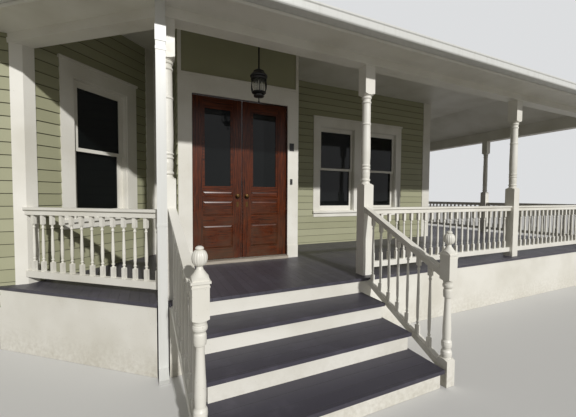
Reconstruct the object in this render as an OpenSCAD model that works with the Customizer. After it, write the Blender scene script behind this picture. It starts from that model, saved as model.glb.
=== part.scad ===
// Front porch of a timber house: wide steps between turned newels, a deck with
// turned posts and balustrades, a boxed beam, ceiling, low roof with its gutter,
// double entrance doors in a projecting entry, and the ground-floor walls that
// the porch leans on.
//
// Plan, seen from above. X runs along the front, Y goes back into the house.
// The posts stand on a line that comes in at an angle from the wing on the left,
// turns at the post beside the steps, runs along the front and turns the corner
// of the house. The distance "out" from that line is written d below: positive
// is outside the posts, negative is under the roof.
// Heights called z are above the deck floor, which is deck_z above the ground.

/* [Steps and deck] */
// Rise of one step
step_rise = 157; // [145:1:170]
// Going of one step
step_run = 338; // [300:1:350]
// Left end of the treads
steps_left = 178; // [170:1:190]
// Right end of the treads
steps_right = 1973; // [1950:1:1985]
// Thickness of treads and deck boards
board_t = 30; // [26:1:34]
// Tread nosing in front of its riser
nosing = 25; // [15:1:35]

/* [Posts and rails] */
// Side of the square blocks of the posts
post_w = 130; // [124:1:134]
// Side of the square block of the newels
newel_w = 90; // [86:1:94]
// Height of the turned shaft's lower shoulder above the deck
shaft_low = 1045; // [1000:5:1060]
// Height of the turned shaft's upper shoulder above the deck
shaft_high = 2042; // [1990:2:2060]
// Height of the rail cap above the deck
rail_top = 772; // [750:1:800]
// Underside of the upper rail above the deck
rail_under = 698; // [680:1:705]
// Spacing of the balusters
baluster_pitch = 120; // [110:1:135]
// Side of the square baluster blocks
baluster_w = 32; // [28:1:36]

/* [Layout] */
// Distance from the left post to the post right of the steps
bay_left = 2115; // [2095:5:2150]
// Front bay right of the steps
bay_front = 2815; // [2700:5:2900]
// Last front bay, up to the corner post
bay_corner = 2950; // [2850:5:3000]
// Bay on the right side of the house
bay_side = 2290; // [2200:5:2400]
// Turn of the angled bay on the left, in degrees
turn = 39; // [37:0.5:41]
// Set-back of the wing's front wall from the post line
wing_y = 1030; // [1000:5:1060]
// Set-back of the main front wall from the post line
wall_y = 2204; // [2160:4:2240]
// Front face of the entry walls
entry_y = 1216; // [1200:2:1240]

/* [Heights] */
// Underside of the beam above the deck
beam_z = 2360; // [2340:5:2400]
// Underside of the soffit above the deck
soffit_z = 2447; // [2440:1:2455]
// Flat ceiling above the deck
ceiling_z = 3034; // [3000:2:3060]
// Top of the house wall above the deck
wall_top_z = 3790; // [3750:10:3900]
// Slope of the porch roof, in degrees
roof_pitch = 22.6; // [22:0.2:23.4]

/* [Entrance doors] */
// Width of the clear door opening
door_open_w = 1328; // [1310:2:1336]
// Height of the door head above the deck
door_head = 2197; // [2180:1:2200]
// Thickness of a door leaf
leaf_t = 45; // [40:1:48]
// Gap round a closed leaf
leaf_gap = 8; // [7:1:9]

/* [Windows] */
// Width of the casing boards
casing_w = 146; // [140:1:152]
// Width of each opening of the paired window
pair_open_w = 790; // [760:1:810]
// Width of the angled wall's window opening
angled_open_w = 708; // [690:2:720]
// Bottom of the window openings above the deck
window_low = 622; // [600:2:650]
// Top of the window openings above the deck
window_high = 2235; // [2220:1:2240]

/* [Hidden] */

// Colours
trim = [0.86, 0.85, 0.80];
siding = [0.52, 0.53, 0.42];
floor_grey = [0.30, 0.28, 0.33];
door_wood = [0.36, 0.16, 0.09];
black_iron = [0.06, 0.06, 0.06];
pane = [0.35, 0.42, 0.45, 0.4];
brass_metal = [0.55, 0.42, 0.20];
shingle = [0.25, 0.25, 0.26];
concrete = [0.55, 0.54, 0.51];

// Plan
deck_z = 4 * step_rise;
front_len = bay_left + bay_front + bay_corner;
p2_x = bay_left;
p3_x = bay_left + bay_front;
side_end = 2 * bay_side + 80;
house_x = front_len - wall_y;
wing_corner = [-round(10 * wing_y / tan(turn)) / 10, wing_y];
angle_end = [wing_corner[0] + wall_y - wing_y, wall_y];
wing_x0 = -2400;
wall_t = 150;
entry_x0 = 176;
entry_x1 = 1840;
entry_t = 120;
door_x0 = (entry_x0 + entry_x1) / 2 - door_open_w / 2;
door_x1 = door_x0 + door_open_w;
jamb_t = 24;
found_h = 420;
far = 5000;
// Clearance of pieces that fit into or against a slanting face
fit = 0.05;

// The part's own origin is the middle of its box, on the ground
newel_y = -1138;
cap_w = newel_w + 16;
gutter_out = 530;
mid_x = (wing_x0 + front_len + gutter_out) / 2;
mid_y = (side_end + newel_y - cap_w / 2) / 2;

// Corner points of the post line, moved out by d
left_dir = [-cos(turn), sin(turn)];
function left_corner(d) = [-d * tan(turn / 2), -d];
function left_far(d) = left_corner(d) + far * left_dir;
function right_corner(d) = [front_len + d, -d];
function right_far(d) = [front_len + d, side_end];

// Roof: z of its underside at a distance in from the post line
roof_edge = 470;
roof_t = 42;
roof_z0 = 2535;
function roof_top(inward) = roof_z0 + (inward + roof_edge) * tan(roof_pitch);
function roof_under(inward) = roof_top(inward) - roof_t / cos(roof_pitch);
ceil_t = 16;
beam_w = 154;
ceil_start = 2600;
fascia_d = 422;
return_h = 190;
end_t = 20;

module in_frame() { translate([-mid_x, -mid_y, 0]) children(); }
module on_deck() { translate([-mid_x, -mid_y, deck_z]) children(); }

// The house as seen from above: its walls and the boards on its corners
module house_plan() {
    polygon([[-far, wing_y], wing_corner, angle_end, [house_x, wall_y],
        [house_x, 2 * far], [-far, 2 * far]]);
    corner_board_plan();
}

// Boards on the house's corners, mitred where their two legs meet
board_out = 22;
corner_leg = 94;
inner_leg = 150;
wrap_leg = 195;
function slant(v) = round(v * sqrt(50)) / 10;
module corner_board_plan() {
    a = slant(corner_leg);
    b = slant(board_out);
    c = slant(inner_leg);
    m = round(board_out * 4.142) / 10;
    // corner of the wing and the angled wall
    polygon([wing_corner + [-corner_leg, -board_out], wing_corner + [m, -board_out],
        wing_corner + [a + b, a - b], wing_corner + [a, a], wing_corner,
        wing_corner + [-corner_leg, 0]]);
    // inner end of the angled wall
    polygon([angle_end + [-c, -c], angle_end + [-c + b, -c - b], angle_end + [m, -board_out],
        angle_end + [60, -board_out], angle_end + [60, 0], angle_end]);
    // corner of the main wall
    polygon([[house_x - wrap_leg, wall_y - board_out],
        [house_x + board_out, wall_y - board_out], [house_x + board_out, wall_y + 100],
        [house_x, wall_y + 100], [house_x, wall_y], [house_x - wrap_leg, wall_y]]);
}

// The projecting entry as seen from above
module entry_plan() {
    translate([entry_x0, entry_y]) square([entry_x1 - entry_x0, wall_y - entry_y + 10]);
}

// Strip that follows the post line between the distances out d1 and d2
module strip(d1, d2) {
    difference() {
        polygon([left_far(d1), left_corner(d1), right_corner(d1), right_far(d1),
            right_far(d2), right_corner(d2), left_corner(d2), left_far(d2)]);
        house_plan();
    }
}

// Clear space that the rain pipe passes through
pipe_sleeve_z = 2130;
pipe_w = 76;
pipe_d = 58;
pipe_x0 = -86;
pipe_y0 = -beam_w / 2 - 2 - pipe_d;
module pipe_space() {
    translate([pipe_x0 - 10, -far]) square([pipe_w + 20, far - post_w / 2 - 1]);
}

// One of the three runs of the porch edge: 0 angled, 1 front, 2 side.
// They stay a hair apart where they meet, as mitred lengths do
mitre_gap = 0.5;
module run_plan(i) {
    out = 1500;
    in = wall_y + 5;
    g = [mitre_gap / 2, 0];
    if (i == 0) polygon([left_corner(out) - g, left_corner(-in) - g, left_far(-in), left_far(out)]);
    if (i == 1) polygon([left_corner(out) + g, right_corner(out) - g, right_corner(-in) - g,
        left_corner(-in) + g]);
    if (i == 2) polygon([right_corner(out) + g, [front_len + out, side_end],
        [front_len - in, side_end], right_corner(-in) + g]);
}

// Carries a profile, drawn as [distance in, z], along the line of one run
module on_run(i, start, end) {
    if (i == 0) rotate([0, 0, -turn]) translate([start, 0, 0])
        rotate([90, 0, 90]) linear_extrude(end - start) children();
    if (i == 1) translate([start, 0, 0])
        rotate([90, 0, 90]) linear_extrude(end - start) children();
    if (i == 2) translate([front_len, start, 0])
        rotate([0, 0, 90]) rotate([90, 0, 90]) linear_extrude(end - start) children();
}

// Carries a profile along all three runs with mitred corners
module along_edge(z0, z1) {
    for (i = [0:2])
        intersection() {
            translate([0, 0, z0]) linear_extrude(z1 - z0) difference() {
                run_plan(i);
                house_plan();
            }
            on_run(i, i == 0 ? -far : -1500, i == 0 ? 1500 : i == 1 ? front_len + 1500 : side_end)
                children();
        }
}

// A turned piece from a list of [radius, height] points, bottom to top
module turned(points) {
    rotate_extrude($fn = 48)
        polygon(concat([[0, points[0][1]]], points, [[0, points[len(points) - 1][1]]]));
}

// A bead as a few points between two heights
function bead(r, swell, z0, z1) = [for (k = [0:4])
    [r + swell * sin(k * 45), z0 + (z1 - z0) * (1 - cos(k * 45)) / 2]];

// ---- House walls ----

wall_mitre = round(10 * wall_t * (sqrt(2) - 1)) / 10;
function wall_corner_in() = [wing_corner[0] - wall_mitre, wing_y + wall_t];
function angle_end_in() = [angle_end[0] - wall_mitre, wall_y + wall_t];

module wing_wall() {
    color(siding) in_frame() translate([0, 0, found_h]) linear_extrude(deck_z + ceiling_z - found_h)
        polygon([[wing_x0, wing_y], wing_corner, wall_corner_in(), [wing_x0, wing_y + wall_t]]);
}

// Places things on the angled wall: x along it from the wing corner, y into it
module on_angled_wall() {
    translate([wing_corner[0], wing_corner[1], 0]) rotate([0, 0, 45]) children();
}

angled_len = (wall_y - wing_y) * sqrt(2);
angled_mid = 832;

module angled_wall() {
    color(siding) in_frame() difference() {
        translate([0, 0, found_h]) linear_extrude(deck_z + ceiling_z - found_h)
            polygon([wing_corner, angle_end, angle_end_in(), wall_corner_in()]);
        on_angled_wall()
            translate([angled_mid - angled_open_w / 2 - fit, -20, deck_z + window_low - fit])
            cube([angled_open_w + 2 * fit, wall_t + 40, window_high - window_low + 2 * fit]);
    }
}

// Entry wall left of the doorway, with its return to the main wall
module entry_wall_left() {
    x1 = door_x0 - jamb_t;
    color(siding) in_frame() translate([0, 0, found_h]) linear_extrude(deck_z + ceiling_z - found_h)
        polygon([[entry_x0, entry_y], [x1, entry_y], [x1, entry_y + entry_t],
            [entry_x0 + entry_t, entry_y + entry_t], [entry_x0 + entry_t, wall_y + wall_t],
            angle_end_in(), angle_end, [entry_x0, wall_y]]);
}

module entry_wall_right() {
    x0 = door_x1 + jamb_t;
    color(siding) in_frame() translate([0, 0, found_h]) linear_extrude(deck_z + ceiling_z - found_h)
        polygon([[x0, entry_y], [entry_x1, entry_y], [entry_x1, wall_y + wall_t],
            [entry_x1 - entry_t, wall_y + wall_t], [entry_x1 - entry_t, entry_y + entry_t],
            [x0, entry_y + entry_t]]);
}

// Wall over the doorway
module entry_wall_top() {
    z0 = deck_z + door_head + jamb_t;
    color(siding) in_frame() translate([door_x0 - jamb_t, entry_y, z0])
        cube([door_open_w + 2 * jamb_t, entry_t, deck_z + ceiling_z - z0]);
}

// Paired window: middle of the pair, and the left edge of each opening
pair_mid = 3737;
pair_post = 300;
function pair_x(k) = pair_mid + (k == 0 ? -pair_post / 2 - pair_open_w : pair_post / 2);

module main_wall() {
    color(siding) in_frame() difference() {
        translate([0, 0, found_h]) linear_extrude(deck_z + ceiling_z - found_h)
            polygon([[entry_x1, wall_y], [house_x, wall_y], [house_x - wall_t, wall_y + wall_t],
                [entry_x1, wall_y + wall_t]]);
        for (k = [0, 1])
            translate([pair_x(k), wall_y - 20, deck_z + window_low])
                cube([pair_open_w, wall_t + 40, window_high - window_low]);
    }
}

module side_wall() {
    color(siding) in_frame() translate([0, 0, found_h]) linear_extrude(deck_z + ceiling_z - found_h)
        polygon([[house_x, wall_y], [house_x, side_end], [house_x - wall_t, side_end],
            [house_x - wall_t, wall_y + wall_t]]);
}

// House wall above the ceiling, which the porch roof leans on
module upper_wall() {
    color(siding) in_frame() translate([0, 0, deck_z + ceiling_z])
        linear_extrude(wall_top_z - ceiling_z)
        polygon([[wing_x0, wing_y], wing_corner, angle_end, [house_x, wall_y], [house_x, side_end],
            [house_x - wall_t, side_end], [house_x - wall_t, wall_y + wall_t], angle_end_in(),
            wall_corner_in(), [wing_x0, wing_y + wall_t]]);
}

module foundation() {
    t = wall_t + 10;
    color(concrete) in_frame() linear_extrude(found_h) difference() {
        union() {
            difference() {
                polygon([[wing_x0, wing_y], wing_corner, angle_end, [house_x, wall_y],
                    [house_x, side_end], [house_x - t, side_end], [house_x - t, wall_y + t],
                    [angle_end[0] - t * 0.4142, wall_y + t],
                    [wing_corner[0] - t * 0.4142, wing_y + t], [wing_x0, wing_y + t]]);
                translate([entry_x0 + entry_t, wall_y - 10])
                    square([entry_x1 - entry_x0 - 2 * entry_t, t + 20]);
            }
            translate([entry_x0, entry_y]) square([entry_x1 - entry_x0, wall_y - entry_y + 1]);
        }
        translate([entry_x0 + entry_t, entry_y + entry_t])
            square([entry_x1 - entry_x0 - 2 * entry_t, wall_y]);
    }
    // sill beam under the doorway
    color(concrete) in_frame() translate([door_x0 - jamb_t, entry_y, found_h])
        cube([door_open_w + 2 * jamb_t, entry_t, deck_z - found_h]);
}

// ---- Trim boards ----

// Vertical boards at the corners of the house, through the porch roof
module corner_boards() {
    color(trim) in_frame() translate([0, 0, found_h])
        linear_extrude(deck_z + wall_top_z - found_h) corner_board_plan();
}

// Casing round one or two openings. x0 and x1 are the outer openings' edges
module casing(x0, x1, gap0, gap1) {
    low = window_low;
    head = window_high + 182;
    difference() {
        union() {
            // side and head boards
            translate([x0 - casing_w, -board_out, low])
                cube([x1 - x0 + 2 * casing_w, board_out, head - 30 - low]);
            // drip cap
            translate([x0 - casing_w - 14, -board_out - 18, head - 30])
                cube([x1 - x0 + 2 * casing_w + 28, board_out + 18, 30]);
        }
        translate([x0, -60, window_low]) cube([gap0 - x0, 120, window_high - window_low]);
        if (gap1 > gap0)
            translate([gap1, -60, window_low]) cube([x1 - gap1, 120, window_high - window_low]);
    }
    // sill and apron
    translate([x0 - casing_w - 10, -board_out - 32, low - 36])
        cube([x1 - x0 + 2 * casing_w + 20, board_out + 32, 36]);
    translate([x0 - casing_w + 8, -board_out, low - 110])
        cube([x1 - x0 + 2 * casing_w - 16, board_out, 74]);
}

module angled_window_casing() {
    x0 = angled_mid - angled_open_w / 2;
    x1 = x0 + angled_open_w;
    color(trim) on_deck() on_angled_wall() translate([0, -fit, 0]) casing(x0, x1, x1, x1);
}

module paired_window_casing() {
    color(trim) on_deck() translate([0, wall_y, 0])
        casing(pair_x(0), pair_x(1) + pair_open_w, pair_x(0) + pair_open_w, pair_x(1));
}

// Double-hung window in an opening of width w: frame liner and two sashes
liner = 10;
sash_stile = 40;
angled_stile = 70;
meet_z = 1432;
module sashes(w, stile) {
    h = window_high - window_low;
    translate([0, 0, window_low]) {
        difference() {
            cube([w, wall_t, h]);
            translate([liner, -10, liner]) cube([w - 2 * liner, wall_t + 20, h - 2 * liner]);
        }
        // lower sash, inside
        translate([liner, 78, liner]) sash(w - 2 * liner, meet_z + 22 - window_low - liner, 90, 42, stile);
        // upper sash, outside
        translate([liner, 42, meet_z - 22 - window_low])
            sash(w - 2 * liner, window_high - liner - meet_z + 22, 42, 76, stile);
    }
}

module sash(w, h, low, top, stile) {
    difference() {
        cube([w, 36, h]);
        translate([stile, -5, low]) cube([w - 2 * stile, 46, h - low - top]);
    }
}

module angled_window_sashes() {
    color(trim) on_deck() on_angled_wall()
        translate([angled_mid - angled_open_w / 2, 0, 0]) sashes(angled_open_w, angled_stile);
}

module paired_window_sashes() {
    color(trim) on_deck() for (k = [0, 1])
        translate([pair_x(k), wall_y, 0]) sashes(pair_open_w, sash_stile);
}

module panes(w, stile) {
    gw = w - 2 * liner - 2 * stile;
    translate([liner + stile, 93, window_low + liner + 90])
        cube([gw, 6, meet_z + 22 - window_low - liner - 90 - 42]);
    translate([liner + stile, 57, meet_z - 22 + 42])
        cube([gw, 6, window_high - liner - meet_z + 22 - 42 - 76]);
}

module window_glass() {
    color(pane) on_deck() {
        on_angled_wall() translate([angled_mid - angled_open_w / 2, 0, 0])
            panes(angled_open_w, angled_stile);
        for (k = [0, 1]) translate([pair_x(k), wall_y, 0]) panes(pair_open_w, sash_stile);
    }
}

// ---- Entrance ----

case_head = door_head + 243;
// Frame of the panel over the doors
panel_side = 42;
panel_top = 60;

// Boards round the doorway, and above them the frame of the panel
module door_casing() {
    side = door_x0 - entry_x0;
    color(trim) on_deck() translate([0, entry_y - board_out, 0]) {
        difference() {
            translate([entry_x0, 0, 0]) cube([entry_x1 - entry_x0, board_out, ceiling_z]);
            translate([door_x0, -10, -10]) cube([door_open_w, 60, door_head + 10]);
            translate([entry_x0 + panel_side, -10, case_head])
                cube([entry_x1 - entry_x0 - 2 * panel_side, 60, ceiling_z - panel_top - case_head]);
        }
        // drip cap over the door casing
        translate([entry_x0 + panel_side, -12, case_head - 28])
            cube([entry_x1 - entry_x0 - 2 * panel_side, 12, 28]);
        // plinth blocks
        for (x = [entry_x0, door_x1])
            translate([x, -8, 0]) cube([side, 8, 180]);
    }
}

// Flat panel over the doors
module entry_panel() {
    color(siding) on_deck() translate([entry_x0 + panel_side, entry_y - 10, case_head])
        cube([entry_x1 - entry_x0 - 2 * panel_side, 10, ceiling_z - panel_top - case_head]);
}

frame_depth = 80;
sill_h = 40;

// Varnished door frame in the opening
module door_frame() {
    color(door_wood) on_deck() translate([0, entry_y, 0]) {
        for (x = [door_x0 - jamb_t, door_x1])
            translate([x, 0, sill_h]) cube([jamb_t, frame_depth, door_head - sill_h]);
        translate([door_x0 - jamb_t, 0, door_head])
            cube([door_open_w + 2 * jamb_t, frame_depth, jamb_t]);
    }
}

module threshold() {
    color(door_wood) on_deck() translate([0, entry_y, 0]) difference() {
        translate([door_x0 - jamb_t, -60, 0])
            cube([door_open_w + 2 * jamb_t, frame_depth + 60 + 40, sill_h]);
        // ends between the casing boards
        for (x = [door_x0 - jamb_t - 1, door_x1])
            translate([x, -61, -1]) cube([jamb_t + 1, 61, sill_h + 2]);
    }
}

module entry_floor() {
    color(door_wood) on_deck() translate([entry_x0 + entry_t, entry_y + entry_t, 10])
        cube([entry_x1 - entry_x0 - 2 * entry_t, wall_y + wall_t - entry_y - entry_t, 30]);
}

// Door leaves. Hinge line just inside the inner face, at the jamb
leaf_w = door_open_w / 2 - leaf_gap - 3;
leaf_z0 = sill_h + leaf_gap;
leaf_h = door_head - leaf_gap - leaf_z0;
leaf_y0 = entry_y + 32;
hinge_y = leaf_y0 + leaf_t + 10;
hinge_x0 = door_x0 + 3;
hinge_x1 = door_x1 - 3;
stile_w = 128;
top_rail = 119;
glass_low = 1000;
glass_z0 = glass_low - leaf_z0;
glass_z1 = leaf_h - top_rail;
glass_in = 28;

// Rows of raised panels below the glass, as [bottom, height] above the leaf
panel_rows = [[150, 300], [585, 190], [830, 76]];

// One leaf, hinged at x = 0, its free edge bevelled
module leaf() {
    difference() {
        linear_extrude(leaf_h)
            polygon([[0, 0], [leaf_w - 3, 0], [leaf_w, leaf_t], [0, leaf_t]]);
        translate([stile_w, -5, glass_z0])
            cube([leaf_w - 2 * stile_w, leaf_t + 10, glass_z1 - glass_z0]);
        for (p = panel_rows, y = [-1, leaf_t - 9])
            translate([stile_w, y, p[0]]) cube([leaf_w - 2 * stile_w, 10, p[1]]);
    }
    // raised fields
    for (p = panel_rows, y = [3, leaf_t - 9])
        translate([stile_w + 30, y, p[0] + 20]) cube([leaf_w - 2 * stile_w - 60, 6, p[1] - 40]);
    // moulding that holds the glass
    difference() {
        translate([stile_w, 8, glass_z0]) cube([leaf_w - 2 * stile_w, 29, glass_z1 - glass_z0]);
        translate([stile_w + glass_in, 0, glass_z0 + glass_in])
            cube([leaf_w - 2 * stile_w - 2 * glass_in, 50, glass_z1 - glass_z0 - 2 * glass_in]);
    }
}

module leaf_pane() {
    translate([stile_w + glass_in, 19, glass_z0 + glass_in])
        cube([leaf_w - 2 * stile_w - 2 * glass_in, 6, glass_z1 - glass_z0 - 2 * glass_in]);
}

// Rose and knob on both faces
knob_high = 898;
knob_z = knob_high - leaf_z0;
module knobs() {
    for (s = [0, 1])
        translate([leaf_w - 62, s * leaf_t, knob_z]) rotate([s == 0 ? 90 : -90, 0, 0]) {
            cylinder(h = 5, r = 30, $fn = 48);
            cylinder(h = 26, r = 10, $fn = 32);
            translate([0, 0, 22]) turned([[12, 0], [24, 6], [28, 14], [24, 23], [12, 27]]);
        }
    // key plate
    translate([leaf_w - 77, -4, knob_z - 150]) cube([30, 4, 70]);
}

module at_left_leaf() {
    on_deck() translate([door_x0 + leaf_gap, leaf_y0, leaf_z0]) children();
}

module at_right_leaf() {
    on_deck() translate([door_x1 - leaf_gap, leaf_y0, leaf_z0]) mirror([1, 0, 0]) children();
}

module left_door() { color(door_wood) at_left_leaf() leaf(); }
module right_door() { color(door_wood) at_right_leaf() leaf(); }
module left_door_glass() { color(pane) at_left_leaf() leaf_pane(); }
module right_door_glass() { color(pane) at_right_leaf() leaf_pane(); }

module left_door_hardware() {
    color(brass_metal) at_left_leaf() {
        knobs();
        leaf_hinges();
    }
}

module right_door_hardware() {
    color(brass_metal) at_right_leaf() {
        knobs();
        leaf_hinges();
    }
}

// Butt hinges: the frame carries the pins, the outer knuckles and a plate on the jamb,
// the leaf the middle knuckle and a plate on its edge
hinge_low = 250;
hinge_mid = 1060;
hinge_drop = 297;
hinge_h = 100;
hinge_rows = [hinge_low, hinge_mid, door_head - hinge_drop];
knuckle_r = 6;
hinge_pin_r = 3;
pin_gap = 0.1;
plate_t = 2;
knuckle_h = 30;

module door_hinges() {
    y0 = entry_y + 44;
    color(brass_metal) on_deck() for (z = hinge_rows, s = [0, 1]) {
        translate([s == 0 ? hinge_x0 : hinge_x1, hinge_y, z]) {
            cylinder(h = hinge_h, r = hinge_pin_r, $fn = 24);
            for (k = [0, hinge_h - knuckle_h])
                translate([0, 0, k]) cylinder(h = knuckle_h, r = knuckle_r, $fn = 24);
        }
        translate([s == 0 ? door_x0 : door_x1 - plate_t, y0, z]) {
            cube([plate_t, hinge_y - knuckle_r - 1.5 - y0, hinge_h]);
            for (k = [0, hinge_h - knuckle_h])
                translate([0, 0, k]) cube([plate_t, hinge_y - y0, knuckle_h]);
        }
    }
}

// The leaf's half, drawn in the leaf's own place
module leaf_hinges() {
    x = hinge_x0 - door_x0 - leaf_gap;
    y = hinge_y - leaf_y0;
    for (z = hinge_rows) translate([0, 0, z - leaf_z0]) {
        translate([-plate_t, 12, 0]) cube([plate_t, leaf_t - 12, hinge_h]);
        translate([0, 0, knuckle_h + 1]) difference() {
            union() {
                translate([x, y, 0])
                    cylinder(h = hinge_h - 2 * knuckle_h - 2, r = knuckle_r, $fn = 24);
                translate([-plate_t, 12, 0])
                    cube([plate_t, y - 15, hinge_h - 2 * knuckle_h - 2]);
            }
            translate([x, y, -1])
                cylinder(h = hinge_h, r = hinge_pin_r + pin_gap, $fn = 24);
        }
    }
}

// Push button beside the door and the bare plate above it
module doorbell() {
    color(black_iron) on_deck() {
        translate([door_x1 + 38, entry_y - board_out - 12, 1070]) cube([34, 12, 78]);
        translate([door_x1 + 26, entry_y - board_out - 5, 1555]) cube([70, 5, 110]);
    }
}

// ---- Deck ----

edge_d = 147;
deck_over = 10;
skirt_t = 22;

module deck_floor() {
    color(floor_grey) in_frame() translate([0, 0, deck_z - board_t]) linear_extrude(board_t)
        difference() {
            strip(edge_d + deck_over, -wall_y - 100);
            entry_plan();
            pipe_space();
        }
}

module deck_skirt() {
    color(trim) in_frame() linear_extrude(deck_z - board_t) difference() {
        union() {
            strip(edge_d, edge_d - skirt_t);
            translate([house_x, side_end - skirt_t]) square([wall_y + edge_d, skirt_t]);
        }
        pipe_space();
    }
}

// ---- Steps ----

function riser_y(j) = -edge_d - j * step_run;

module stair_treads() {
    color(floor_grey) in_frame() for (j = [1:3])
        translate([steps_left, riser_y(j) - nosing, deck_z - j * step_rise - board_t])
            cube([steps_right - steps_left, step_run + nosing + (j > 1 ? skirt_t : 0), board_t]);
}

module stair_risers() {
    color(trim) in_frame() for (j = [1:3])
        translate([steps_left + 20, riser_y(j), deck_z - (j + 1) * step_rise])
            cube([steps_right - steps_left - 40, skirt_t, step_rise - board_t]);
}

module stair_stringers() {
    t = 40;
    color(trim) in_frame() for (x = [steps_left + 20, (steps_left + steps_right - t) / 2,
            steps_right - 20 - t])
        translate([x, 0, 0]) rotate([90, 0, 90]) linear_extrude(t)
            polygon([[riser_y(0), 0], [riser_y(0), deck_z - step_rise - board_t],
                [riser_y(1) + skirt_t, deck_z - step_rise - board_t],
                [riser_y(1) + skirt_t, deck_z - 2 * step_rise - board_t],
                [riser_y(2) + skirt_t, deck_z - 2 * step_rise - board_t],
                [riser_y(2) + skirt_t, deck_z - 3 * step_rise - board_t],
                [riser_y(3) + skirt_t, deck_z - 3 * step_rise - board_t],
                [riser_y(3) + skirt_t, 0]]);
}

// ---- Newels ----

newel_lx = 108;
newel_rx = 2045;

// Square block with its upper and lower corners turned away to a round shoulder
module block(w, z0, z1, low, high) {
    c = 14;
    intersection() {
        translate([-w / 2, -w / 2, z0]) cube([w, w, z1 - z0]);
        turned([[low ? w * 0.5 : w, z0], [low ? w * 0.5 + c * 1.6 : w, z0 + c],
            [w, z0 + c * 1.01], [w, z1 - c * 1.01],
            [high ? w * 0.5 + c * 1.6 : w, z1 - c], [high ? w * 0.5 : w, z1]]);
    }
}

// Heights are above the ground
module newel() {
    g = deck_z;
    w = newel_w;
    block(w, 0, g - 405, false, true);
    // lower beads, long vase, drum and the bead under the block
    turned(concat([[w * 0.42, g - 406]], bead(36, 6, g - 396, g - 345), [[31, g - 338]],
        bead(33, 7, g - 322, g - 262), [[30, g - 254], [31, g - 240], [32.5, g - 190],
        [31, g - 120], [27, g - 40], [23, g + 70], [23.5, g + 84], [33, g + 92]],
        bead(33, 2, g + 96, g + 150), [[29, g + 156], [30, g + 164]],
        bead(34, 7, g + 168, g + 202), [[36, g + 206], [36, g + 216], [w * 0.42, g + 220],
        [w * 0.42, g + 228]]));
    block(w, g + 226, g + 436, true, false);
    // bead and lip under the flare
    translate([-w / 2 - 3, -w / 2 - 3, g + 408]) cube([w + 6, w + 6, 8]);
    translate([-cap_w / 2, -cap_w / 2, g + 430]) cube([cap_w, cap_w, 13]);
    // flare turned out of the square stick
    intersection() {
        translate([-w / 2, -w / 2, g + 442]) cube([w, w, 90]);
        turned([[w * 0.71, g + 440], [w * 0.66, g + 450], [w * 0.53, g + 463], [w * 0.41, g + 476],
            [w * 0.31, g + 489], [w * 0.22, g + 501], [w * 0.18, g + 513], [w * 0.19, g + 522]]);
    }
    // ball and its button
    turned(concat([[w * 0.2, g + 519]],
        [for (k = [0:10]) [16 + 25 * sin(k * 18), g + 520 + 84 * (1 - cos(k * 18)) / 2]],
        [[20, g + 607], [23, g + 611], [22, g + 617], [16, g + 623], [8, g + 626]]));
}

module newel_left() { color(trim) in_frame() translate([newel_lx, newel_y, 0]) newel(); }
module newel_right() { color(trim) in_frame() translate([newel_rx, newel_y, 0]) newel(); }

// ---- Turned posts ----

// Heights are above the deck
module post() {
    w = post_w;
    a = shaft_low;
    b = shaft_high;
    block(w, 0, a, false, true);
    turned(concat([[w * 0.42, a - 3], [w * 0.42, a + 6], [48, a + 12], [45, a + 24]],
        bead(49, 6, a + 30, a + 54), [[46, a + 60], [49, a + 90], [50, a + 130], [47, a + 158]],
        bead(50, 5, a + 164, a + 180), [[47, a + 184], [47, a + 192]],
        bead(50, 5, a + 198, a + 214), [[48, a + 220], [51, a + 300], [52, a + 380],
        [51, a + 480], [48, b - 340]],
        bead(49, 5, b - 332, b - 312), [[47, b - 306], [47.5, b - 200], [46, b - 96]],
        bead(49, 5, b - 90, b - 70), [[46, b - 64], [46, b - 48]], bead(48, 7, b - 42, b - 14),
        [[w * 0.42, b - 8], [w * 0.42, b + 3]]));
    block(w, b, beam_z, true, false);
}

module post_left() { color(trim) on_deck() post(); }
module post_stair() { color(trim) on_deck() translate([p2_x, 0, 0]) post(); }
module post_middle() { color(trim) on_deck() translate([p3_x, 0, 0]) post(); }
module posts_far() {
    color(trim) on_deck() for (y = [0, bay_side, 2 * bay_side])
        translate([front_len, y, 0]) post();
}

// ---- Balustrades ----

cap_t = 24;
cap_over = 88;
sub_w = 50;
low_rail_z0 = 73;
low_rail_z1 = 138;

// Baluster from z0 to z1, square at both ends and turned between
module baluster(z0, z1) {
    w = baluster_w;
    a = z0 + 100;
    b = z1 - 92;
    h = b - a;
    translate([-w / 2, -w / 2, z0]) cube([w, w, a - z0]);
    turned([[w * 0.42, a - 1], [w * 0.42, a + 3], [9, a + 8], [9, a + 14], [14, a + 20], [14, a + 28],
        [9.5, a + 34], [13, a + 70], [14.5, a + 0.34 * h], [12.5, a + 0.55 * h], [9, b - 52],
        [9, b - 42], [13.5, b - 36], [13.5, b - 27], [9, b - 20], [10, b - 10], [w * 0.42, b - 4],
        [w * 0.42, b + 1]]);
    translate([-w / 2, -w / 2, b]) cube([w, w, z1 - b]);
}

// Level railing panel from x = 0 to x = length, its first baluster at x = first
module panel(length, first) {
    n = floor((length - first - 30) / baluster_pitch);
    translate([0, -cap_over / 2, rail_top - cap_t]) cube([length, cap_over, cap_t]);
    translate([0, -sub_w / 2, rail_under]) cube([length, sub_w, rail_top - cap_t - rail_under]);
    translate([0, -sub_w / 2, low_rail_z0]) cube([length, sub_w, low_rail_z1 - low_rail_z0]);
    for (k = [0:n]) translate([first + k * baluster_pitch, 0, 0])
        baluster(low_rail_z1, rail_under);
}

angled_clear = wing_y / sin(turn);

// Panel of the angled bay, cut to the post and to the wing's corner
module railing_angled() {
    color(trim) on_deck() difference() {
        rotate([0, 0, 180 - turn]) panel(angled_clear - 8, 103);
        translate([-post_w / 2, -post_w / 2, -10]) cube([post_w, post_w, 1200]);
        translate([0, 0, -10]) linear_extrude(1200) house_plan();
    }
}

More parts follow.
